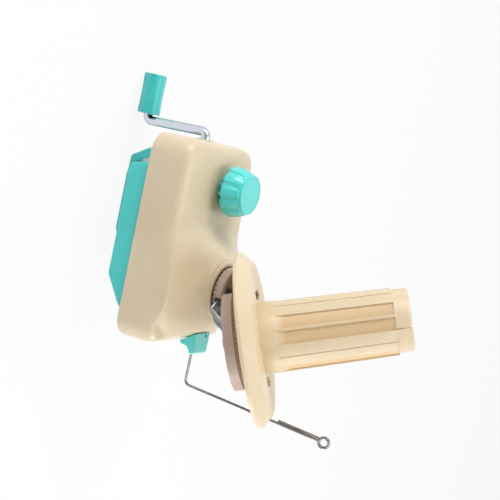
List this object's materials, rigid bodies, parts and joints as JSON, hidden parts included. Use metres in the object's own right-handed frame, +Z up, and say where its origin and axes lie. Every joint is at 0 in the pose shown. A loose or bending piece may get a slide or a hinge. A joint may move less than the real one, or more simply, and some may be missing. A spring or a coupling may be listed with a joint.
{
  "type": "yarn ball winder",
  "caption": "Hand-cranked winder that turns a leaning ribbed spool round an upright axis, with a table clamp and a wire yarn guide.",
  "frame": {"origin": "where the upright winding axis meets the cover's flat underside, which rests on the table", "axes": "+Z up along the winding axis, +X from the crank end to the yarn guide end, -Y the long front wall"},
  "size_m": [0.202, 0.111, 0.2112],
  "materials": {
    "housing_plastic": "satin moulded",
    "spool_plastic": "satin moulded",
    "teal_plastic": "satin moulded",
    "brown_plastic": "satin moulded",
    "bearing_plastic": "plain moulded",
    "chromed_rod": "bright plated",
    "guide_steel": "drawn wire",
    "screw_steel": "zinc plated"
  },
  "bodies": {
    "housing": {"upper_housing": "housing_plastic", "bottom_cover": "teal_plastic", "cover_screws": "screw_steel", "crank_bush": "bearing_plastic", "center_post": "screw_steel", "sun_gear": "brown_plastic", "sun_gear_screw": "screw_steel", "clamp_washer": "screw_steel", "guide_holder": "teal_plastic", "holder_screw": "screw_steel"},
    "crank": {"crank_rod": "chromed_rod", "drive_wheel": "bearing_plastic", "drive_wheel_pin": "screw_steel", "shaft_clip": "screw_steel", "grip_ring": "screw_steel"},
    "grip": {"handle_grip": "teal_plastic"},
    "carrier": {"turntable": "brown_plastic", "spindle_strap": "chromed_rod", "strap_screw": "screw_steel", "spindle_axle": "screw_steel", "axle_clip": "screw_steel"},
    "spool": {"spool_gear": "brown_plastic", "gear_screws": "screw_steel", "spool_flange": "spool_plastic", "spool_cone": "spool_plastic"},
    "clamp_drive": {"clamp_knob": "teal_plastic", "clamp_screw": "chromed_rod", "screw_clip": "screw_steel"},
    "clamp_jaw": {"clamp_arm": "teal_plastic", "clamp_nut": "screw_steel"},
    "yarn_guide": {"guide_wire": "guide_steel"}
  },
  "joints": [
    {"name": "carrier_spin", "type": "hinge", "parent": "housing", "child": "carrier", "pos_m": [0, 0, 0.05], "axis": [0, 0, 1], "continuous": true},
    {"name": "crank_spin", "type": "hinge", "parent": "housing", "child": "crank", "pos_m": [-0.05, 0, 0.025], "axis": [1, 0, 0], "continuous": true},
    {"name": "grip_spin", "type": "hinge", "parent": "crank", "child": "grip", "pos_m": [-0.1085, 0, -0.0195], "axis": [1, 0, 0], "continuous": true},
    {"name": "spool_spin", "type": "hinge", "parent": "carrier", "child": "spool", "pos_m": [0, 0, 0.1447], "axis": [-0.3442, 0.3564, 0.8686], "continuous": true},
    {"name": "knob_turn", "type": "hinge", "parent": "housing", "child": "clamp_drive", "pos_m": [-0.06, 0.0058, 0.05], "axis": [0, 0, -1], "range_deg": [0, 8101]},
    {"name": "jaw_slide", "type": "slide", "parent": "housing", "child": "clamp_jaw", "axis": [0, 0, 1], "range_m": [0, 0.018]},
    {"name": "guide_swivel", "type": "hinge", "parent": "housing", "child": "yarn_guide", "pos_m": [0.0365, 0, 0.0462], "axis": [-1, 0, 0], "range_deg": [0, 80]}
  ],
  "couplings": [
    {"joint": "crank_spin", "follows": "carrier_spin", "ratio": 0.33333},
    {"joint": "spool_spin", "follows": "carrier_spin", "ratio": 0.28571},
    {"joint": "knob_turn", "follows": "jaw_slide", "rad_per_m": 7854}
  ]
}
